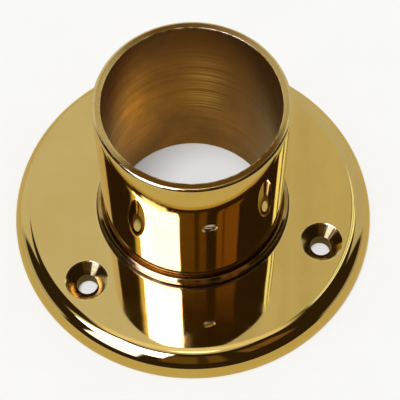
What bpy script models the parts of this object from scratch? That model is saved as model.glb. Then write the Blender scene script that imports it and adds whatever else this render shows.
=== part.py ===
"""Brass flag pole stand: a round floor flange, a tube socket, the brazed bead between them and a set screw.

Metres. The origin is the centre of the underside, +Z runs up the bore and the set screw faces -Y.
"""

import math

import bmesh
import bpy
from mathutils import Matrix, Vector

# Driving sizes
POLE_DIAMETER = 0.0508
POLE_CLEARANCE = 0.0006
TUBE_WALL = 0.0026
SOCKET_HEIGHT = 0.0660
BASE_DIAMETER = 0.1143
BASE_THICKNESS = 0.0076
GAP = 0.0003

# Flange
BULLNOSE_RADIUS = 0.0068
UNDERSIDE_CHAMFER = 0.0003
HOLE_COUNT = 3
HOLE_PITCH_RADIUS = 0.0430
CLEARANCE_HOLE_RADIUS = 0.0032
COUNTERSINK_RADIUS = 0.0064
CUTTER_MARGIN = 0.0010

# Socket
BORE_RADIUS = (POLE_DIAMETER + POLE_CLEARANCE) / 2
TUBE_RADIUS = BORE_RADIUS + TUBE_WALL
RIM_ROUND = 0.0012
RIM_CHAMFER = 0.0002

# Brazed bead, which also fills the chamfer round the flange's seat
BEAD_WIDTH = 0.0021
BEAD_HEIGHT = 0.0035
SEAT_CHAMFER = BEAD_WIDTH + GAP * math.sqrt(2)

# Set screw, on the socket's -Y side
SCREW_AXIS_HEIGHT = 0.0430
SCREW_RADIUS = 0.0018
SCREW_LENGTH = 0.0032
SCREW_RECESS = 0.0005
SCREW_EDGE = 0.00025
SCREW_POINT = 0.0005
SLOT_WIDTH = 0.0006
SLOT_DEPTH = 0.0008
SLOT_TILT = math.radians(14)
SCREW_HOLE_RADIUS = SCREW_RADIUS + GAP
SCREW_HOLE_CHAMFER = 0.0003

# Facets round a full turn
FLANGE_STEPS = 96
HOLE_STEPS = 40
SCREW_STEPS = 32
ARC_STEPS = 8

FRONT = Vector((0, -1, 0))


def clear_scene():
    for obj in list(bpy.data.objects):
        bpy.data.objects.remove(obj, do_unlink=True)


def new_collection(name, hidden=False):
    collection = bpy.data.collections.new(name)
    bpy.context.scene.collection.children.link(collection)
    collection.hide_render = hidden
    return collection


def metal(name, colour, roughness):
    material = bpy.data.materials.new(name)
    material.use_nodes = True
    shader = material.node_tree.nodes["Principled BSDF"]
    shader.inputs["Base Color"].default_value = (*colour, 1.0)
    shader.inputs["Metallic"].default_value = 1.0
    shader.inputs["Roughness"].default_value = roughness
    return material


def flange_brass():
    return metal("flange_brass", (0.83, 0.62, 0.24), 0.06)


def tube_brass():
    return metal("tube_brass", (0.82, 0.60, 0.23), 0.07)


def braze_metal():
    return metal("braze_metal", (0.80, 0.60, 0.26), 0.10)


def screw_steel():
    return metal("screw_steel", (0.62, 0.58, 0.55), 0.25)


def arc(centre, radius, start_degrees, end_degrees, steps=ARC_STEPS):
    points = []
    for step in range(steps + 1):
        angle = math.radians(start_degrees + (end_degrees - start_degrees) * step / steps)
        points.append((centre[0] + radius * math.cos(angle), centre[1] + radius * math.sin(angle)))
    return points


def turned(name, profile, steps, material, collection):
    """A closed profile of (radius, height) points, turned about Z: out along the top, down and back in."""
    mesh = bpy.data.meshes.new(name)
    outline = bmesh.new()
    corners = [outline.verts.new((radius, 0, height)) for radius, height in profile]
    for index, corner in enumerate(corners):
        outline.edges.new((corner, corners[(index + 1) % len(corners)]))
    outline.to_mesh(mesh)
    outline.free()
    obj = bpy.data.objects.new(name, mesh)
    collection.objects.link(obj)
    mesh.materials.append(material)
    screw = obj.modifiers.new("Turn", "SCREW")
    screw.axis = "Z"
    screw.steps = steps
    screw.render_steps = steps
    screw.use_smooth_shade = True
    screw.use_merge_vertices = True
    screw.merge_threshold = 0.00001
    return obj


def cone(name, low_radius, high_radius, start, end, steps, collection):
    """A closed cone or cylinder from one point to another, for cutting or as a round body."""
    along = end - start
    shape = bmesh.new()
    bmesh.ops.create_cone(
        shape,
        cap_ends=True,
        segments=steps,
        radius1=low_radius,
        radius2=high_radius,
        depth=along.length,
        matrix=Matrix.Translation((0, 0, along.length / 2)),
    )
    mesh = bpy.data.meshes.new(name)
    shape.to_mesh(mesh)
    shape.free()
    obj = bpy.data.objects.new(name, mesh)
    collection.objects.link(obj)
    obj.matrix_world = Matrix.Translation(start) @ along.to_track_quat("Z", "Y").to_matrix().to_4x4()
    return obj


def cut(obj, cutter):
    cutter.hide_render = True
    cutter.display_type = "WIRE"
    boolean = obj.modifiers.new("Cut " + cutter.name, "BOOLEAN")
    boolean.operation = "DIFFERENCE"
    boolean.solver = "EXACT"
    boolean.object = cutter


def base_flange(parts, cutters, material):
    outer = BASE_DIAMETER / 2
    seat = TUBE_RADIUS + GAP
    edge_centre = (outer - BULLNOSE_RADIUS, BASE_THICKNESS - BULLNOSE_RADIUS)
    profile = [(seat, BASE_THICKNESS - SEAT_CHAMFER), (seat + SEAT_CHAMFER, BASE_THICKNESS)]
    profile += arc(edge_centre, BULLNOSE_RADIUS, 90, 0)
    profile += [(outer, UNDERSIDE_CHAMFER), (outer - UNDERSIDE_CHAMFER, 0), (seat, 0)]
    flange = turned("base_flange", profile, FLANGE_STEPS, material, parts)
    for index in range(HOLE_COUNT):
        turn = Matrix.Rotation(math.radians(180 + 360 * index / HOLE_COUNT), 4, "Z")
        foot = turn @ (FRONT * HOLE_PITCH_RADIUS)
        screw_hole(flange, foot, "screw_hole_%d" % (index + 1), cutters)
    return flange


def screw_hole(flange, foot, name, cutters):
    """A plain hole with a 90 degree countersink."""
    below = foot - Vector((0, 0, CUTTER_MARGIN))
    top = foot + Vector((0, 0, BASE_THICKNESS + CUTTER_MARGIN))
    cut(flange, cone(name, CLEARANCE_HOLE_RADIUS, CLEARANCE_HOLE_RADIUS, below, top, HOLE_STEPS, cutters))
    tip_radius = CLEARANCE_HOLE_RADIUS - GAP
    mouth_radius = COUNTERSINK_RADIUS + CUTTER_MARGIN
    tip = top - Vector((0, 0, mouth_radius - tip_radius))
    cut(flange, cone(name + "_sink", tip_radius, mouth_radius, tip, top, HOLE_STEPS, cutters))


def socket_tube(parts, cutters, material):
    rim_centre = (TUBE_RADIUS - RIM_ROUND, SOCKET_HEIGHT - RIM_ROUND)
    profile = [(BORE_RADIUS + RIM_CHAMFER, SOCKET_HEIGHT)]
    profile += arc(rim_centre, RIM_ROUND, 90, 0)
    profile += [(TUBE_RADIUS, GAP), (BORE_RADIUS, GAP), (BORE_RADIUS, SOCKET_HEIGHT - RIM_CHAMFER)]
    tube = turned("socket_tube", profile, FLANGE_STEPS, material, parts)
    centre = Vector((0, 0, SCREW_AXIS_HEIGHT))
    inside = centre + FRONT * (BORE_RADIUS - 4 * CUTTER_MARGIN)
    outside = centre + FRONT * (TUBE_RADIUS + CUTTER_MARGIN)
    radius = SCREW_HOLE_RADIUS
    cut(tube, cone("tapped_hole", radius, radius, inside, outside, SCREW_STEPS, cutters))
    mouth_radius = radius + SCREW_HOLE_CHAMFER + CUTTER_MARGIN
    tip = outside - FRONT * mouth_radius
    cut(tube, cone("tapped_hole_chamfer", 0.0, mouth_radius, tip, outside, SCREW_STEPS, cutters))
    return tube


def braze_bead(parts, material):
    """A ring in the corner of tube and flange: rounded above, with a 45 degree wedge in the seat below."""
    inner = TUBE_RADIUS + GAP
    profile = []
    for radius, height in arc((0, 0), 1.0, 90, 0):
        profile.append((inner + BEAD_WIDTH * radius, BASE_THICKNESS + BEAD_HEIGHT * height))
    profile.append((inner, BASE_THICKNESS - BEAD_WIDTH))
    return turned("braze_bead", profile, FLANGE_STEPS, material, parts)


def set_screw(parts, cutters, material):
    """A slotted headless screw. Its object's origin is on the screw's axis, at the slotted end."""
    profile = [
        (0.0, 0.0),
        (SCREW_RADIUS - SCREW_EDGE, 0.0),
        (SCREW_RADIUS, -SCREW_EDGE),
        (SCREW_RADIUS, SCREW_POINT - SCREW_LENGTH),
        (SCREW_RADIUS - SCREW_POINT, -SCREW_LENGTH),
        (0.0, -SCREW_LENGTH),
    ]
    screw = turned("set_screw", profile, SCREW_STEPS, material, parts)
    outer_end = Vector((0, 0, SCREW_AXIS_HEIGHT)) + FRONT * (TUBE_RADIUS - SCREW_RECESS)
    screw.matrix_world = Matrix.Translation(outer_end) @ FRONT.to_track_quat("Z", "Y").to_matrix().to_4x4()
    bpy.ops.mesh.primitive_cube_add(size=1)
    slot = bpy.context.active_object
    slot.name = "driver_slot"
    for owner in list(slot.users_collection):
        owner.objects.unlink(slot)
    cutters.objects.link(slot)
    size = Matrix.Diagonal((4 * SCREW_RADIUS, SLOT_WIDTH, 2 * SLOT_DEPTH, 1))
    slot.matrix_world = screw.matrix_world @ Matrix.Rotation(SLOT_TILT, 4, "Z") @ size
    cut(screw, slot)
    return screw


def build():
    clear_scene()
    parts = new_collection("flag_pole_stand")
    cutters = new_collection("cutters", hidden=True)
    base_flange(parts, cutters, flange_brass())
    socket_tube(parts, cutters, tube_brass())
    braze_bead(parts, braze_metal())
    set_screw(parts, cutters, screw_steel())


build()
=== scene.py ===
"""Flag pole stand in polished brass: the finished look of each part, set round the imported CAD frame.

Metres, +Z up the socket, the set screw on the -Y side.
"""

import math

import bmesh
import bpy
from mathutils import Matrix, Vector


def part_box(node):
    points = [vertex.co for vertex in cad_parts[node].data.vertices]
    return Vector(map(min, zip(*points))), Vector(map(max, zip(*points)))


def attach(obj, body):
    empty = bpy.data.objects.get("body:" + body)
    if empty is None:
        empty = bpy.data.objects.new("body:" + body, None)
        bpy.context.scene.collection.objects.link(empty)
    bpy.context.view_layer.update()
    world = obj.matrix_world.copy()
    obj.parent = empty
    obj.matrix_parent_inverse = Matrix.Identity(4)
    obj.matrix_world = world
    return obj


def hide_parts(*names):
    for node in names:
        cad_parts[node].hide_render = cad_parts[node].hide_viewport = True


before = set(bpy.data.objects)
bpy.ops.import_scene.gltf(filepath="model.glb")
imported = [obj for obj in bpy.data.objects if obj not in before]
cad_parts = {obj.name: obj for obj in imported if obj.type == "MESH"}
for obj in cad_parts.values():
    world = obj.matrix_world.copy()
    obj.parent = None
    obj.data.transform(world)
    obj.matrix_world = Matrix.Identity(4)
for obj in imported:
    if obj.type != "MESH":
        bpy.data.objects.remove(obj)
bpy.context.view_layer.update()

DEGREES_PER_RADIAN = 180 / math.pi

# Sizes read from the CAD frame
FLANGE_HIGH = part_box("base_flange")[1]
TUBE_LOW, TUBE_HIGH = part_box("socket_tube")
BEAD_LOW, BEAD_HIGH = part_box("braze_bead")
SCREW_LOW, SCREW_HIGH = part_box("set_screw")
BASE_RADIUS = FLANGE_HIGH.x
BASE_THICKNESS = FLANGE_HIGH.z
TUBE_RADIUS = TUBE_HIGH.x
SCREW_RADIUS = (SCREW_HIGH.x - SCREW_LOW.x) / 2
SCREW_LENGTH = SCREW_HIGH.y - SCREW_LOW.y
SCREW_END = Vector((0, SCREW_LOW.y, (SCREW_HIGH.z + SCREW_LOW.z) / 2))

# Sizes shared with the CAD's design
GAP = 0.0003
TUBE_WALL = 0.0026
BORE_RADIUS = TUBE_RADIUS - TUBE_WALL
BULLNOSE_RADIUS = 0.0068
SEAT_CHAMFER = 0.0022
HOLE_COUNT = 3
HOLE_PITCH_RADIUS = 0.0430
CLEARANCE_HOLE_RADIUS = 0.0032
COUNTERSINK_RADIUS = 0.0064
SLOT_WIDTH = 0.0006
SLOT_DEPTH = 0.0008
SLOT_TILT = math.radians(14)

# Fine shape. The support points beside an arc keep the faces next to it shaded flat.
EDGE_BREAK = 0.0002
RIM_ROUND = 0.0011
MOUTH_BREAK = 0.00025
CUTTER_REACH = 0.0010
SUPPORT_GAP = 0.00015
BEAD_SUPPORT_GAP = 0.00008
CONE_FOOT = BASE_THICKNESS - (COUNTERSINK_RADIUS - CLEARANCE_HOLE_RADIUS)
TURN_STEPS = 288
HOLE_STEPS = 96
FLANGE_ARC_STEPS = 16
ARC_STEPS = 8

# Threads. A crest factor above 1 gives the thread a flat crest.
THREAD_PITCH = 0.0007
THREAD_DEPTH = 0.00035
THREAD_FADE = 0.0004
THREAD_CREST = 1.35
THREAD_STEPS = 64
RINGS_PER_PITCH = 14
TAPPED_CLEARANCE = 0.0002
TAPPED_DEPTH = 0.00022
TAPPED_LENGTH = 0.0060
TAPPED_START = 0.0015
TAPPED_CHAMFER = 0.0003

# The bead's outline, from its foot to its crevice: share of the bead's width, share of its height,
# and the corner's radius as a share of the width
BEAD_SHAPE = (
    (1.00, 0.15, 0.12),
    (0.82, 0.26, 0.08),
    (0.82, 0.84, 0.13),
    (0.36, 1.01, 0.08),
    (0.16, 0.88, 0.05),
    (0.00, 0.84, 0.0),
)

# How far the bead is from round: its depth, and waves of (share, count round the axis, phase)
BEAD_WOBBLE = 0.000025
BEAD_WAVES = ((0.5, 5, 1.1), (0.3, 11, 2.3), (0.2, 23, 0.4))

# Camera, as seen from the front and above, a little to the left of the set screw
VIEW_AZIMUTH = math.radians(-10.3)
VIEW_ELEVATION = math.radians(62.0)
VIEW_DISTANCE = 7.5 * BASE_RADIUS
AIM_RIGHT = 0.040 * BASE_RADIUS
AIM_AWAY = 0.076 * BASE_RADIUS
FOCAL_IN_FRAMES = 3.285

VIEW_RIGHT = Vector((math.cos(VIEW_AZIMUTH), math.sin(VIEW_AZIMUTH), 0))
VIEW_AWAY = Vector((-math.sin(VIEW_AZIMUTH), math.cos(VIEW_AZIMUTH), 0))


# ---------------------------------------------------------------- mesh helpers

def new_piece(name, shape):
    """An object from a bmesh, with its faces turned outwards."""
    bmesh.ops.recalc_face_normals(shape, faces=shape.faces)
    mesh = bpy.data.meshes.new(name)
    shape.to_mesh(mesh)
    shape.free()
    obj = bpy.data.objects.new(name, mesh)
    bpy.context.scene.collection.objects.link(obj)
    return obj


def shade_by_angle(obj, degrees=20):
    obj.data.shade_smooth()
    obj.data.set_sharp_from_angle(angle=math.radians(degrees))


def rounded(corners, steps=ARC_STEPS, support=SUPPORT_GAP):
    """A closed outline of (x, y, radius) corners, each made an arc with a support point on either side."""
    points = []
    for index, (x, y, radius) in enumerate(corners):
        corner = Vector((x, y))
        if radius == 0:
            points.append(corner)
            continue
        before = (Vector(corners[index - 1][:2]) - corner).normalized()
        after = (Vector(corners[(index + 1) % len(corners)][:2]) - corner).normalized()
        half = before.angle(after) / 2
        reach = radius / math.tan(half)
        centre = corner + (before + after).normalized() * (radius / math.sin(half))
        start = corner + before * reach - centre
        sweep = start.angle_signed(corner + after * reach - centre)
        points.append(corner + before * (reach + support))
        for step in range(steps + 1):
            turn = Matrix.Rotation(-sweep * step / steps, 2)
            points.append(centre + turn @ start)
        points.append(corner + after * (reach + support))
    return [(p.x, p.y) for p in points]


def polar_vertex(shape, radius, angle, height):
    return shape.verts.new((radius * math.cos(angle), radius * math.sin(angle), height))


def revolve(name, outline, wobble=None):
    """The closed (radius, height) outline turned about Z.

    wobble(angle, share) is how far a point is moved out, where share is its place along the outline."""
    shape = bmesh.new()
    slices = []
    for step in range(TURN_STEPS):
        angle = 2 * math.pi * step / TURN_STEPS
        corners = []
        for index, (radius, height) in enumerate(outline):
            reach = radius + (wobble(angle, index / len(outline)) if wobble else 0)
            corners.append(polar_vertex(shape, reach, angle, height))
        slices.append(corners)
    for step in range(TURN_STEPS):
        here, there = slices[step], slices[(step + 1) % TURN_STEPS]
        for index in range(len(outline)):
            after = (index + 1) % len(outline)
            shape.faces.new((here[index], there[index], there[after], here[after]))
    return new_piece(name, shape)


def capped(name, shape, rings):
    """The closed piece that joins each ring of vertices to the next, capped by its two end rings."""
    steps = len(rings[0])
    for low, high in zip(rings, rings[1:]):
        for step in range(steps):
            after = (step + 1) % steps
            shape.faces.new((low[step], low[after], high[after], high[step]))
    shape.faces.new(rings[0])
    shape.faces.new(rings[-1])
    return new_piece(name, shape)


def lathe(name, outline, steps):
    """An open (radius, height) outline turned about Z and closed at its two ends."""
    shape = bmesh.new()
    angles = [2 * math.pi * step / steps for step in range(steps)]
    rings = [[polar_vertex(shape, radius, angle, height) for angle in angles] for radius, height in outline]
    return capped(name, shape, rings)


def threaded(name, length, root_radius, depth, taper=0.0):
    """A closed rod along +Z with a helical thread, which fades out at both ends over taper."""
    shape = bmesh.new()
    count = round(length / THREAD_PITCH * RINGS_PER_PITCH)
    rings = []
    for level in range(count + 1):
        height = length * level / count
        fade = 1.0 if taper == 0 else max(0.0, min(1.0, height / taper, (length - height) / taper))
        ring = []
        for step in range(THREAD_STEPS):
            share = step / THREAD_STEPS
            phase = (height / THREAD_PITCH - share) % 1.0
            crest = min(1.0, THREAD_CREST * (1 - abs(2 * phase - 1)))
            radius = root_radius - depth * (1 - fade) + depth * crest * fade
            ring.append(polar_vertex(shape, radius, 2 * math.pi * share, height))
        rings.append(ring)
    return capped(name, shape, rings)


def place(obj, matrix):
    """Moves the mesh itself, so that the object stays at the frame's origin."""
    obj.data.transform(matrix)
    obj.data.update()


def cut(obj, cutter, material=None):
    """Cuts the cutter out of obj and removes it. With a material, the cut faces take it."""
    if material:
        cutter.data.materials.clear()
        cutter.data.materials.append(material)
        obj.data.materials.append(material)
    boolean = obj.modifiers.new("cut", "BOOLEAN")
    boolean.operation = "DIFFERENCE"
    boolean.solver = "EXACT"
    boolean.material_mode = "TRANSFER"
    boolean.object = cutter
    bpy.context.view_layer.update()
    graph = bpy.context.evaluated_depsgraph_get()
    result = bpy.data.meshes.new_from_object(obj.evaluated_get(graph))
    obj.modifiers.clear()
    old = obj.data
    obj.data = result
    result.name = obj.name
    bpy.data.meshes.remove(old)
    bpy.data.objects.remove(cutter, do_unlink=True)


# ---------------------------------------------------------------- material helpers

# Half width of a rubbed edge
WEAR_WIDTH = 0.0005


def principled(name, metallic=1.0):
    material = bpy.data.materials.new(name)
    material.use_nodes = True
    shader = material.node_tree.nodes["Principled BSDF"]
    shader.inputs["Metallic"].default_value = metallic
    return material, material.node_tree, shader


def feed(tree, socket, value):
    if isinstance(value, bpy.types.NodeSocket):
        tree.links.new(value, socket)
    else:
        socket.default_value = value


def arithmetic(tree, operation, first, second=0.0):
    node = tree.nodes.new("ShaderNodeMath")
    node.operation = operation
    feed(tree, node.inputs[0], first)
    feed(tree, node.inputs[1], second)
    return node.outputs[0]


def times(tree, first, second):
    return arithmetic(tree, "MULTIPLY", first, second)


def plus(tree, first, second):
    return arithmetic(tree, "ADD", first, second)


def larger(tree, first, second):
    return arithmetic(tree, "MAXIMUM", first, second)


def remap(tree, value, low, high, to_low=0.0, to_high=1.0, smooth=True):
    node = tree.nodes.new("ShaderNodeMapRange")
    node.interpolation_type = "SMOOTHSTEP" if smooth else "LINEAR"
    feed(tree, node.inputs["Value"], value)
    node.inputs["From Min"].default_value = low
    node.inputs["From Max"].default_value = high
    node.inputs["To Min"].default_value = to_low
    node.inputs["To Max"].default_value = to_high
    return node.outputs["Result"]


def blend_colour(tree, factor, first, second):
    node = tree.nodes.new("ShaderNodeMix")
    node.data_type = "RGBA"
    feed(tree, node.inputs["Factor"], factor)
    for socket, value in ((node.inputs[6], first), (node.inputs[7], second)):
        feed(tree, socket, value if isinstance(value, bpy.types.NodeSocket) else (*value, 1.0))
    return node.outputs[2]


def noise(tree, vector, scale, detail=3.0, roughness=0.55):
    node = tree.nodes.new("ShaderNodeTexNoise")
    feed(tree, node.inputs["Vector"], vector)
    node.inputs["Scale"].default_value = scale
    node.inputs["Detail"].default_value = detail
    node.inputs["Roughness"].default_value = roughness
    return node.outputs["Fac"]


def bump(tree, height, distance, below=None):
    node = tree.nodes.new("ShaderNodeBump")
    node.inputs["Strength"].default_value = 1.0
    node.inputs["Distance"].default_value = distance
    feed(tree, node.inputs["Height"], height)
    if below:
        tree.links.new(below, node.inputs["Normal"])
    return node.outputs["Normal"]


def place_of(tree):
    """The shaded point in the object's own space, which at rest is the frame's."""
    return tree.nodes.new("ShaderNodeTexCoord").outputs["Object"]


def split(tree, vector):
    node = tree.nodes.new("ShaderNodeSeparateXYZ")
    tree.links.new(vector, node.inputs[0])
    return node.outputs


def joined(tree, x, y, z):
    node = tree.nodes.new("ShaderNodeCombineXYZ")
    for socket, value in zip(node.inputs, (x, y, z)):
        feed(tree, socket, value)
    return node.outputs[0]


def stretched(tree, x, y, along, across):
    """A vector that changes slowly round a turned surface and quickly across its tool marks."""
    return joined(tree, times(tree, x, along), times(tree, y, along), across)


def distance_from(tree, parts, centre):
    """The distance from a vertical axis at centre, and the X and Y from it."""
    x = arithmetic(tree, "SUBTRACT", parts[0], centre[0])
    y = arithmetic(tree, "SUBTRACT", parts[1], centre[1])
    square = plus(tree, times(tree, x, x), times(tree, y, y))
    return arithmetic(tree, "SQRT", square), x, y


def near(tree, value, target, width):
    """1 where value is at target, falling to 0 at width to either side."""
    gap = arithmetic(tree, "ABSOLUTE", arithmetic(tree, "SUBTRACT", value, target))
    return remap(tree, gap, 0.0, width, 1.0, 0.0)


def edge_wear(tree, edges, width=WEAR_WIDTH):
    """Rubbed edges: patchy bands of that half width, where the value of a (value, target) pair hits it."""
    wear = 0.0
    for value, target in edges:
        wear = larger(tree, wear, near(tree, value, target, width))
    patches = remap(tree, noise(tree, place_of(tree), 420.0, 4.0, 0.6), 0.35, 0.6)
    return times(tree, wear, patches)


# ---------------------------------------------------------------- materials

BRASS_COLOURS = ((0.90, 0.66, 0.235), (0.78, 0.52, 0.15))
BRAZE_COLOURS = ((0.62, 0.44, 0.17), (0.42, 0.26, 0.08))
# Painted shade for the bead's foot and the crevice beside the tube
BRAZE_PAINTED_SHADE = (0.12, 0.062, 0.014)
BRASS_RUBBED = (0.95, 0.76, 0.36)
BORE_BRASS = (0.37, 0.155, 0.029)
# Painted glow: an orange reflection on the bore's far wall
BORE_PAINTED_GLOW = (1.0, 0.44, 0.045)
# Painted highlight on the bore's far wall
BORE_PAINTED_HIGHLIGHT = (0.95, 0.60, 0.20)
BORE_DARK = (0.16, 0.076, 0.018)
CONE_COLOURS = ((0.58, 0.42, 0.14), (0.42, 0.28, 0.075))
# Painted shade in the drilled hole below each countersink
HOLE_PAINTED_SHADE = (0.14, 0.085, 0.024)
RIM_COLOURS = ((0.80, 0.57, 0.21), (0.62, 0.40, 0.12))
# Painted shade on the rim's front and back
RIM_PAINTED_SHADE = (0.18, 0.075, 0.012)
STEEL = (0.80, 0.68, 0.58)
STEEL_DARK = (0.46, 0.39, 0.34)
STEEL_RUBBED = (0.90, 0.86, 0.82)

CONE_ROUGHNESS = (0.10, 0.20)
TAPPED_ROUGHNESS = (0.12, 0.22)
RIM_ROUGHNESS = (0.17, 0.27)
BORE_ROUGHNESS = (0.30, 0.40)
STEEL_ROUGHNESS = (0.34, 0.52)

# Heights of the surface marks
BUFFED_WAVES = 0.00004
BUFFED_RINGS = 0.0000006
BRAZE_WAVES = 0.00008
BRAZE_PITS = 0.000006
TOOL_MARKS = 0.000002
RIM_MARKS = 0.0000002
BORE_RINGS = 0.000003
BORE_LINES = 0.000004
STEEL_GRAIN = 0.000003

BORE_WEAR_WIDTH = 0.0007
STEEL_WEAR_WIDTH = 0.0004

# Where the bead's painted shade, at its foot and in its crevice, fades out: shares of its height above the
# flange, and of its width from the tube
FOOT_PAINTED_SHADE = (0.24, 0.60)
CREVICE_PAINTED_SHADE = (0.12, 0.32)

# Patches in the bore: middle and half width round the axis from +X, in degrees, and middle and half
# width in height, as shares of the tube's
# Painted glow on the far wall of the bore
GLOW_PATCH = (128.0, 32.0, 0.62, 0.60)
# Painted highlight on the far wall of the bore
HIGHLIGHT_PATCH = (70.0, 22.0, 0.55, 0.40)
# Painted shade in the bore: at these (middle, half width) sweeps round the axis, and rising from this share
# of the tube's height to its top
PAINTED_SHADE_SWEEPS = ((18.0, 52.0), (176.0, 26.0))
PAINTED_SHADE_TOP = 0.62


def polished_brass(name, rubbed_height, rubbed_circles=(), ring_marks=0.0):
    """Buffed brass: a mirror with faint clouds, fine hairlines, a slight waviness and rubbed edges.

    The edges are at one height and on (centre, radius) circles. ring_marks is how high its rings are."""
    material, tree, shader = principled(name)
    place_vector = place_of(tree)
    x, y, z = split(tree, place_vector)
    edges = [(z, rubbed_height)]
    for centre, edge_radius in rubbed_circles:
        edges.append((distance_from(tree, (x, y), centre)[0], edge_radius))
    wear = edge_wear(tree, edges)
    clouds = noise(tree, place_vector, 55.0, 4.0)
    colour = blend_colour(tree, remap(tree, clouds, 0.3, 0.75, 0.0, 0.35), *BRASS_COLOURS)
    colour = blend_colour(tree, wear, colour, BRASS_RUBBED)
    tree.links.new(colour, shader.inputs["Base Color"])
    smears = noise(tree, place_vector, 90.0, 5.0, 0.65)
    hairs = noise(tree, place_vector, 2600.0, 2.0)
    smears = remap(tree, smears, 0.45, 0.75, 0.03, 0.075)
    roughness = plus(tree, smears, remap(tree, hairs, 0.6, 0.8, 0.0, 0.03))
    roughness = plus(tree, roughness, times(tree, wear, 0.14))
    tree.links.new(roughness, shader.inputs["Roughness"])
    waves = bump(tree, noise(tree, place_vector, 60.0, 1.0), BUFFED_WAVES)
    if ring_marks:
        radius = distance_from(tree, (x, y), (0, 0))[0]
        marks = noise(tree, stretched(tree, x, y, 12.0, times(tree, radius, 2200.0)), 1.0, 3.0)
        waves = bump(tree, marks, ring_marks, waves)
    tree.links.new(waves, shader.inputs["Normal"])
    return material


def brazed_brass(name):
    """The brazed bead: buffed on its crown, with patchy painted shade at its foot and in the crevice beside
    the tube.
    """
    material, tree, shader = principled(name)
    place_vector = place_of(tree)
    x, y, z = split(tree, place_vector)
    radius = distance_from(tree, (x, y), (0, 0))[0]
    levels = [BASE_THICKNESS + share * (BEAD_HIGH.z - BASE_THICKNESS) for share in FOOT_PAINTED_SHADE]
    reaches = [TUBE_RADIUS + share * (BEAD_HIGH.x - TUBE_RADIUS) for share in CREVICE_PAINTED_SHADE]
    foot = remap(tree, z, *levels, 1.0, 0.0)
    crevice = remap(tree, radius, *reaches, 1.0, 0.0)
    clouds = noise(tree, place_vector, 160.0, 4.0, 0.6)
    # Painted shade: darker and rougher at the foot and in the crevice, in patches
    darkening = times(tree, larger(tree, foot, crevice), remap(tree, clouds, 0.25, 0.5, 0.6, 1.0))
    colour = blend_colour(tree, remap(tree, clouds, 0.35, 0.7), *BRAZE_COLOURS)
    colour = blend_colour(tree, darkening, colour, BRAZE_PAINTED_SHADE)
    tree.links.new(colour, shader.inputs["Base Color"])
    roughness = plus(tree, remap(tree, clouds, 0.4, 0.7, 0.03, 0.08), times(tree, darkening, 0.2))
    tree.links.new(roughness, shader.inputs["Roughness"])
    pits = bump(tree, noise(tree, place_vector, 900.0, 3.0), BRAZE_PITS)
    waves = bump(tree, noise(tree, place_vector, 60.0, 1.0), BRAZE_WAVES, pits)
    tree.links.new(waves, shader.inputs["Normal"])
    return material


def turned_brass(name, centre, colours, roughness, depth, edge_radius, shade_below=-1.0, front_shade=0.0):
    """Machined brass with tool marks of that depth round a vertical axis, rubbed at one radius.

    Below shade_below it has painted shade and is rougher, and front_shade is how strongly painted shade
    browns its front and, a little less, its back."""
    material, tree, shader = principled(name)
    place_vector = place_of(tree)
    x, y, z = split(tree, place_vector)
    radius, near_x, near_y = distance_from(tree, (x, y), centre)
    across = times(tree, plus(tree, radius, z), 3500.0)
    marks = noise(tree, stretched(tree, near_x, near_y, 60.0, across), 1.0, 3.0)
    wear = edge_wear(tree, [(radius, edge_radius)])
    # Painted shade below the given height, in the drilled hole under a countersink, which is also made
    # rougher
    shade_mask = remap(tree, z, shade_below - EDGE_BREAK, shade_below + EDGE_BREAK, 1.0, 0.0)
    shade = blend_colour(tree, remap(tree, marks, 0.35, 0.7), *colours)
    shade = blend_colour(tree, shade_mask, shade, HOLE_PAINTED_SHADE)
    # Painted shade: browner at the rim's front and, a little less, at its back, in patches
    if front_shade:
        front = times(tree, near_y, -1.0)
        ends = arithmetic(tree, "DIVIDE", larger(tree, front, times(tree, near_y, 0.7)), radius)
        patches = times(tree, noise(tree, place_vector, 90.0, 4.0), 0.25)
        brown = remap(tree, plus(tree, ends, patches), 0.45, 0.88, 0.0, front_shade)
        shade = blend_colour(tree, brown, shade, RIM_PAINTED_SHADE)
    shade = blend_colour(tree, wear, shade, BRASS_RUBBED)
    tree.links.new(shade, shader.inputs["Base Color"])
    rough = remap(tree, marks, 0.3, 0.7, *roughness)
    rough = plus(tree, rough, times(tree, shade_mask, 0.3))
    tree.links.new(rough, shader.inputs["Roughness"])
    tree.links.new(bump(tree, marks, depth), shader.inputs["Normal"])
    return material


def bore_patch(tree, sweep, z, patch):
    """1 at the middle of a patch in the bore, falling to 0 at its half widths."""
    middle, half_width, height, half_height = patch
    level = near(tree, z, height * TUBE_HIGH.z, half_height * TUBE_HIGH.z)
    return times(tree, near(tree, sweep, middle, half_width), level)


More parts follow.
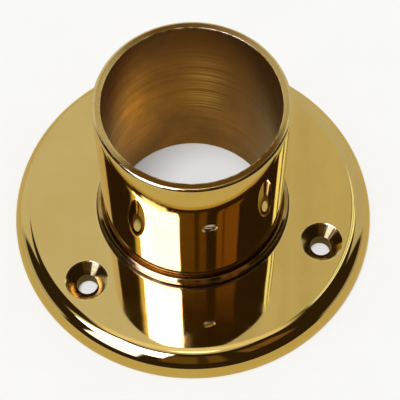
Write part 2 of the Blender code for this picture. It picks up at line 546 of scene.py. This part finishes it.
def bored_brass(name):
    """The satin bore: fine rings, deeper lines and dark stains, with painted light: an orange glow, a
    bright highlight patch, and shade at its sides and towards its top.
    """
    material, tree, shader = principled(name)
    place_vector = place_of(tree)
    x, y, z = split(tree, place_vector)
    fine = noise(tree, stretched(tree, x, y, 14.0, times(tree, z, 3800.0)), 1.0, 2.0)
    broad = noise(tree, stretched(tree, x, y, 22.0, times(tree, z, 1300.0)), 1.0, 3.0)
    stains = noise(tree, place_vector, 48.0, 5.0, 0.6)
    colour = blend_colour(tree, remap(tree, stains, 0.38, 0.72, 0.0, 0.8), BORE_BRASS, BORE_DARK)
    sweep = times(tree, arithmetic(tree, "ARCTAN2", y, x), DEGREES_PER_RADIAN)
    # Painted glow: an orange patch on the far wall
    painted_glow = times(tree, bore_patch(tree, sweep, z, GLOW_PATCH), remap(tree, stains, 0.35, 0.60, 1.0, 0.5))
    colour = blend_colour(tree, painted_glow, colour, BORE_PAINTED_GLOW)
    # Painted highlight: a brighter, streaky patch on the far wall
    painted_highlight = times(tree, bore_patch(tree, sweep, z, HIGHLIGHT_PATCH), remap(tree, fine, 0.42, 0.66, 0.0, 0.7))
    colour = blend_colour(tree, painted_highlight, colour, BORE_PAINTED_HIGHLIGHT)
    # Painted shade: darker towards the top of the bore and in sweeps at its sides
    shade_mask = remap(tree, z, PAINTED_SHADE_TOP * TUBE_HIGH.z, TUBE_HIGH.z, 0.0, 0.7)
    for middle, half_width in PAINTED_SHADE_SWEEPS:
        shade_mask = larger(tree, shade_mask, near(tree, sweep, middle, half_width))
    colour = blend_colour(tree, times(tree, shade_mask, 0.75), colour, BORE_DARK)
    colour = blend_colour(tree, remap(tree, broad, 0.42, 0.70, 0.0, 0.22), colour, BORE_DARK)
    wear = edge_wear(tree, [(z, TUBE_HIGH.z)], BORE_WEAR_WIDTH)
    colour = blend_colour(tree, wear, colour, BRASS_RUBBED)
    tree.links.new(colour, shader.inputs["Base Color"])
    tree.links.new(remap(tree, broad, 0.3, 0.7, *BORE_ROUGHNESS), shader.inputs["Roughness"])
    rings = bump(tree, fine, BORE_RINGS)
    tree.links.new(bump(tree, broad, BORE_LINES, rings), shader.inputs["Normal"])
    return material


def steel(name):
    """Plain turned steel with dark patches of dirt, rubbed bright at its outer end."""
    material, tree, shader = principled(name)
    place_vector = place_of(tree)
    darkening = noise(tree, place_vector, 1400.0, 4.0, 0.6)
    colour = blend_colour(tree, remap(tree, darkening, 0.40, 0.75), STEEL, STEEL_DARK)
    _, y, _ = split(tree, place_vector)
    wear = edge_wear(tree, [(y, SCREW_END.y)], STEEL_WEAR_WIDTH)
    colour = blend_colour(tree, wear, colour, STEEL_RUBBED)
    tree.links.new(colour, shader.inputs["Base Color"])
    tree.links.new(remap(tree, darkening, 0.3, 0.8, *STEEL_ROUGHNESS), shader.inputs["Roughness"])
    tree.links.new(bump(tree, noise(tree, place_vector, 5200.0, 3.0), STEEL_GRAIN), shader.inputs["Normal"])
    return material


# ---------------------------------------------------------------- pieces

# A face is level if the Z of its normal is above this
LEVEL_NORMAL = 0.99999

# Half the diagonal of the square rod that cuts the slot, before it is scaled
HALF_DIAGONAL = 0.7


def hole_axes():
    """The foot of each screw hole's axis: one straight behind the socket, the others 120 degrees on."""
    for index in range(HOLE_COUNT):
        turn = Matrix.Rotation(2 * math.pi * index / HOLE_COUNT, 3, "Z")
        yield turn @ Vector((0, HOLE_PITCH_RADIUS, 0))


def countersink_cutter(name):
    """The space of a screw hole, run past both faces: a plain hole, a 90 degree cone and a broken edge."""
    top = BASE_THICKNESS
    mouth = COUNTERSINK_RADIUS + MOUTH_BREAK
    lip = MOUTH_BREAK * math.tan(math.radians(22.5))
    outline = [
        (CLEARANCE_HOLE_RADIUS + EDGE_BREAK + CUTTER_REACH, -CUTTER_REACH),
        (CLEARANCE_HOLE_RADIUS + EDGE_BREAK, 0),
        (CLEARANCE_HOLE_RADIUS, EDGE_BREAK),
        (CLEARANCE_HOLE_RADIUS, CONE_FOOT - EDGE_BREAK),
        (CLEARANCE_HOLE_RADIUS + EDGE_BREAK / 3, CONE_FOOT + EDGE_BREAK / 2),
        (COUNTERSINK_RADIUS - lip, top - lip * 2),
        (mouth, top),
        (mouth + 2 * CUTTER_REACH, top + CUTTER_REACH),
    ]
    return lathe(name, outline, HOLE_STEPS)


def make_flange():
    seat = TUBE_RADIUS + GAP
    outline = rounded(
        [
            (seat, 0, EDGE_BREAK),
            (BASE_RADIUS, 0, EDGE_BREAK),
            (BASE_RADIUS, BASE_THICKNESS, BULLNOSE_RADIUS),
            (HOLE_PITCH_RADIUS - COUNTERSINK_RADIUS - 4 * MOUTH_BREAK, BASE_THICKNESS, 0),
            (seat + SEAT_CHAMFER, BASE_THICKNESS, 0),
            (seat, BASE_THICKNESS - SEAT_CHAMFER, 0),
        ],
        FLANGE_ARC_STEPS,
    )
    flange = revolve("flange", outline)
    circles = [((0, 0), seat + SEAT_CHAMFER)]
    for axis in hole_axes():
        circles.append(((axis.x, axis.y), COUNTERSINK_RADIUS + MOUTH_BREAK))
    flange.data.materials.append(polished_brass("flange_polish", 0.0, circles, BUFFED_RINGS))
    for index, axis in enumerate(hole_axes()):
        cutter = countersink_cutter("countersink_%d" % index)
        place(cutter, Matrix.Translation(axis))
        finish = turned_brass(
            "countersink_turned_%d" % index,
            (axis.x, axis.y),
            CONE_COLOURS,
            CONE_ROUGHNESS,
            TOOL_MARKS,
            COUNTERSINK_RADIUS,
            shade_below=CONE_FOOT,
        )
        cut(flange, cutter, finish)
    shade_by_angle(flange)
    flatten_top(flange)
    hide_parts("base_flange")
    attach(flange, "stand")


def flatten_top(flange):
    """Shades the top's level faces flat, so that the mirror is truly flat."""
    flat_radius = BASE_RADIUS - BULLNOSE_RADIUS
    for face in flange.data.polygons:
        level = face.normal.z > LEVEL_NORMAL and face.center.z > BASE_THICKNESS - EDGE_BREAK
        if level and math.hypot(face.center.x, face.center.y) < flat_radius - EDGE_BREAK:
            face.use_smooth = False


def make_tube():
    outline = rounded(
        [
            (BORE_RADIUS, TUBE_LOW.z, EDGE_BREAK),
            (TUBE_RADIUS, TUBE_LOW.z, EDGE_BREAK),
            (TUBE_RADIUS, SCREW_END.z - 2 * SCREW_RADIUS, 0),
            (TUBE_RADIUS, SCREW_END.z + 2 * SCREW_RADIUS, 0),
            (TUBE_RADIUS, TUBE_HIGH.z, RIM_ROUND),
            (BORE_RADIUS, TUBE_HIGH.z, EDGE_BREAK),
        ]
    )
    tube = revolve("tube", outline)
    finishes = [
        polished_brass("tube_polish", TUBE_HIGH.z),
        bored_brass("bore_turned"),
        turned_brass("rim_turned", (0, 0), RIM_COLOURS, RIM_ROUGHNESS, RIM_MARKS, BORE_RADIUS, front_shade=1.0),
    ]
    for finish in finishes:
        tube.data.materials.append(finish)
    for face in tube.data.polygons:
        middle = face.center
        radius = math.hypot(middle.x, middle.y)
        if radius < BORE_RADIUS + EDGE_BREAK / 2:
            face.material_index = 1
        elif middle.z > TUBE_HIGH.z - EDGE_BREAK / 4 and radius < TUBE_RADIUS - RIM_ROUND / 2:
            face.material_index = 2
    cut_tapped_hole(tube)
    shade_by_angle(tube)
    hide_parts("socket_tube")
    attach(tube, "stand")


def screw_frame(start_y):
    """A frame on the set screw's axis at that Y, with +Z pointing into the bore."""
    return Matrix.Translation((0, start_y, SCREW_END.z)) @ Matrix.Rotation(math.radians(-90), 4, "X")


def cut_tapped_hole(tube):
    """The threaded hole through the front of the tube, with a chamfer at its mouth."""
    thread = threaded("tapped_hole", TAPPED_LENGTH, SCREW_RADIUS + TAPPED_CLEARANCE, TAPPED_DEPTH)
    place(thread, screw_frame(-TUBE_RADIUS - TAPPED_START))
    name = "tapped_hole_turned"
    finish = turned_brass(name, (0, 0), CONE_COLOURS, TAPPED_ROUGHNESS, TOOL_MARKS, TUBE_RADIUS)
    cut(tube, thread, finish)
    mouth = SCREW_RADIUS + GAP + TAPPED_CHAMFER
    outline = [
        (mouth + CUTTER_REACH, 0),
        (mouth, CUTTER_REACH),
        (mouth - 2 * TAPPED_CHAMFER, CUTTER_REACH + 2 * TAPPED_CHAMFER),
    ]
    chamfer = lathe("tapped_hole_chamfer", outline, THREAD_STEPS)
    place(chamfer, screw_frame(-TUBE_RADIUS - CUTTER_REACH))
    cut(tube, chamfer, finish)


def bead_wobble(angle, share):
    """How far a hand-dressed joint is from round: most at the middle of its outline, and never outwards."""
    swell = sum(size * math.sin(count * angle + phase) for size, count, phase in BEAD_WAVES)
    return -BEAD_WOBBLE * (1 + swell) * math.sin(math.pi * share)


def make_bead():
    """A dressed ring: a small crevice against the tube, a sloping crown, an upright side and a low foot."""
    inner = TUBE_RADIUS + GAP / 3
    width = BEAD_HIGH.x - inner
    height = BEAD_HIGH.z - BASE_THICKNESS
    corners = [(inner, BEAD_LOW.z, 0), (inner + width, BASE_THICKNESS, 0)]
    for across, up, soft in BEAD_SHAPE:
        corners.append((inner + width * across, BASE_THICKNESS + height * up, width * soft))
    bead = revolve("bead", rounded(corners, support=BEAD_SUPPORT_GAP), bead_wobble)
    bead.data.materials.append(brazed_brass("bead_braze"))
    shade_by_angle(bead, 30)
    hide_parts("braze_bead")
    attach(bead, "stand")


def make_screw():
    """The threaded screw, with a tilted slot in its outer end."""
    screw = threaded("grub_screw", SCREW_LENGTH, SCREW_RADIUS - THREAD_DEPTH, THREAD_DEPTH, THREAD_FADE)
    place(screw, screw_frame(SCREW_END.y))
    screw.data.materials.append(steel("screw_steel_turned"))
    slot = lathe("driver_slot", [(HALF_DIAGONAL, -0.5), (HALF_DIAGONAL, 0.5)], 4)
    square = Matrix.Rotation(math.radians(45), 4, "Z")
    size = Matrix.Diagonal((4 * SCREW_RADIUS, SLOT_WIDTH, 2 * SLOT_DEPTH, 1))
    place(slot, screw_frame(SCREW_END.y) @ Matrix.Rotation(SLOT_TILT, 4, "Z") @ size @ square)
    cut(screw, slot)
    shade_by_angle(screw, 40)
    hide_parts("set_screw")
    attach(screw, "screw")


# ---------------------------------------------------------------- studio

FLOOR_SIZE = 6.0
FLOOR_PAINT = (0.92, 0.92, 0.915)
FLOOR_ROUGHNESS = 0.9
FLOOR_SHEEN = 0.2
# The floor only mirrors see: painted shade, yellower round the stand as a painted glow from the brass
MIRRORED_SHADE_AND_GLOW = (0.55, 0.485, 0.26)
MIRRORED_SHADE = (0.54, 0.535, 0.50)
MIRRORED_DROP = 0.0001

# The patch of painted shade and glow on the mirrored floor: its width over its length, and where its soft
# edge starts and ends
PATCH_SHAPE = 0.45
PATCH_EDGE = (0.9 * BASE_RADIUS, 2.6 * BASE_RADIUS)

SUN_STRENGTH = 2.35
SUN_WIDTH = math.radians(24)
SUN_TILT = (math.radians(4), math.radians(-6), 0)

BACKDROP = (0.90, 0.90, 0.895)
AMBIENT = (0.32, 0.32, 0.315)
ROOM_DARK = (0.028, 0.018, 0.008)
ROOM_PALE_LEFT = (0.61, 0.605, 0.59)
ROOM_PALE_RIGHT = (0.58, 0.55, 0.42)

# The pale far side, in the same degrees as the panels: where it starts on the right and on the left, and
# where it ends above. Its colour changes over a stretch of how far right a direction points, from -1 to 1.
FAR_RIGHT = (150, 156)
FAR_LEFT = (-132, -137)
FAR_TOP = (78, 84)
PALE_CHANGE = (-0.06, 0.09)

# Each panel: azimuth from, to; elevation from, to; edge softness, in degrees; colour; strength.
# Azimuth 0 is behind the camera and positive to its right.
PANELS = (
    (-190, -128, -5, 78, 4, (1.0, 1.0, 0.97), 0.60),
    (-130, -106, -5, 48, 4, (1.0, 1.0, 0.97), 0.60),
    (-108, -66, -5, 14, 6, (1.0, 1.0, 0.90), 0.45),
    (128, 190, -5, 57, 4, (1.0, 1.0, 0.97), 0.54),
    (106, 130, -5, 48, 4, (1.0, 1.0, 0.97), 0.52),
    (66, 108, -5, 10, 6, (1.0, 0.95, 0.80), 0.36),
    (126, 136, 51, 70, 2, (0.95, 1.08, 0.95), 1.2),
    (140, 150, 51, 70, 2, (0.95, 1.08, 0.95), 1.0),
    (-17, 17, 30, 66, 4, (1.0, 0.60, 0.18), 0.12),
    (2, 8, 30, 66, 3, (1.0, 0.60, 0.18), 0.05),
    (31, 60, 46, 66, 4, (1.0, 0.52, 0.20), 0.19),
    (38, 41, 46, 66, 3, (1.0, 0.52, 0.20), 0.10),
    (-80, -62, 50, 72, 6, (1.0, 1.0, 0.5), 0.75),
    (-56, -28, 23, 45, 3, (1.0, 1.15, 2.2), 1.9),
    (-72, -17, 48, 73, 2, (1.0, 0.97, 2.2), 6.5),
    (-95, 95, 79, 100, 3, (1.0, 0.98, 0.85), 0.55),
    (95, 265, 73, 100, 6, (1.0, 0.96, 0.80), 0.85),
    (-265, -95, 73, 100, 6, (1.0, 0.96, 0.80), 0.85),
    (-190, 190, 86, 100, 2, (1.0, 1.0, 1.15), 2.0),
)


def make_floor(name, height, colour, side_colour):
    """A painted plane in side_colour, with a patch of colour round the stand, longer from front to back."""
    bpy.ops.mesh.primitive_plane_add(size=FLOOR_SIZE, location=(0, 0, height))
    floor = bpy.context.active_object
    floor.name = name
    material, tree, shader = principled(name + "_paint", metallic=0.0)
    place_vector = place_of(tree)
    x, y, _ = split(tree, place_vector)
    reach = distance_from(tree, (x, times(tree, y, PATCH_SHAPE)), (0, 0))[0]
    paint = blend_colour(tree, remap(tree, reach, *PATCH_EDGE), colour, side_colour)
    mottle = remap(tree, noise(tree, place_vector, 30.0, 4.0), 0.0, 1.0, 0.0, 0.04, smooth=False)
    tree.links.new(blend_colour(tree, mottle, paint, (0.0, 0.0, 0.0)), shader.inputs["Base Color"])
    shader.inputs["Roughness"].default_value = FLOOR_ROUGHNESS
    shader.inputs["Specular IOR Level"].default_value = FLOOR_SHEEN
    floor.data.materials.append(material)
    return floor


def make_floors():
    """The pale floor itself, and a dimmer one just under it that only mirrors see, which paints shade, with
    a yellow painted glow round the stand.
    """
    floor = make_floor("floor", 0.0, FLOOR_PAINT, FLOOR_PAINT)
    floor.visible_glossy = False
    floor.visible_shadow = False
    dim = make_floor("floor_in_mirrors", -MIRRORED_DROP, MIRRORED_SHADE_AND_GLOW, MIRRORED_SHADE)
    dim.visible_camera = False
    dim.visible_diffuse = False


def make_sun():
    """A broad light from nearly overhead, which mirrors don't see."""
    light = bpy.data.lights.new("overhead", "SUN")
    light.energy = SUN_STRENGTH
    light.angle = SUN_WIDTH
    lamp = bpy.data.objects.new("overhead", light)
    bpy.context.scene.collection.objects.link(lamp)
    lamp.rotation_euler = SUN_TILT
    lamp.visible_glossy = False


def span(tree, value, low, high, soft):
    """1 between low and high, with edges soft wide."""
    rise = remap(tree, value, low - soft / 2, low + soft / 2)
    fall = remap(tree, value, high - soft / 2, high + soft / 2, 1.0, 0.0)
    return times(tree, rise, fall)


def make_world():
    """Plain pale light, except in mirrors, which see a dark room with a pale far side and soft panels."""
    world = bpy.data.worlds.new("studio")
    bpy.context.scene.world = world
    world.use_nodes = True
    world.cycles.sampling_method = "NONE"
    tree = world.node_tree
    direction = tree.nodes.new("ShaderNodeTexCoord").outputs["Generated"]

    def along(vector):
        node = tree.nodes.new("ShaderNodeVectorMath")
        node.operation = "DOT_PRODUCT"
        tree.links.new(direction, node.inputs[0])
        node.inputs[1].default_value = vector
        return node.outputs["Value"]

    across = along(VIEW_RIGHT)
    turn = arithmetic(tree, "ARCTAN2", across, along(-VIEW_AWAY))
    azimuth = times(tree, turn, DEGREES_PER_RADIAN)
    rise = arithmetic(tree, "ARCSINE", along(Vector((0, 0, 1))))
    elevation = times(tree, rise, DEGREES_PER_RADIAN)
    behind = larger(tree, remap(tree, azimuth, *FAR_RIGHT), remap(tree, azimuth, *FAR_LEFT))
    far = times(tree, behind, remap(tree, elevation, *FAR_TOP, 1.0, 0.0))
    pale = blend_colour(tree, remap(tree, across, *PALE_CHANGE), ROOM_PALE_LEFT, ROOM_PALE_RIGHT)
    folds = noise(tree, joined(tree, across, 0.0, 0.0), 45.0, 3.0)
    pale = blend_colour(tree, remap(tree, folds, 0.40, 0.65, 0.0, 0.16), pale, ROOM_DARK)
    colour = blend_colour(tree, far, ROOM_DARK, pale)
    for left, right, low, high, soft, tint, strength in PANELS:
        width = span(tree, azimuth, left, right, soft)
        mask = times(tree, width, span(tree, elevation, low, high, soft))
        colour = blend_colour(tree, mask, colour, tuple(channel * strength for channel in tint))
    path = tree.nodes.new("ShaderNodeLightPath")
    direct = arithmetic(tree, "SUBTRACT", 1.0, path.outputs["Diffuse Depth"])
    mirrored = times(tree, path.outputs["Is Glossy Ray"], larger(tree, direct, 0.0))
    seen = blend_colour(tree, mirrored, AMBIENT, colour)
    seen = blend_colour(tree, path.outputs["Is Camera Ray"], seen, BACKDROP)
    tree.links.new(seen, tree.nodes["Background"].inputs["Color"])


def make_camera():
    camera = bpy.data.cameras.new("camera")
    camera.lens = camera.sensor_width * FOCAL_IN_FRAMES
    camera.clip_start = 0.01
    eye = bpy.data.objects.new("camera", camera)
    bpy.context.scene.collection.objects.link(eye)
    back = Vector((0, 0, 1)) * math.sin(VIEW_ELEVATION) - VIEW_AWAY * math.cos(VIEW_ELEVATION)
    eye.location = VIEW_RIGHT * AIM_RIGHT + VIEW_AWAY * AIM_AWAY + back * VIEW_DISTANCE
    eye.rotation_euler = (-back).to_track_quat("-Z", "Y").to_euler()
    bpy.context.scene.camera = eye


make_camera()
make_world()
make_sun()
make_floors()
make_flange()
make_tube()
make_bead()
make_screw()
bpy.context.scene.view_settings.view_transform = "Standard"
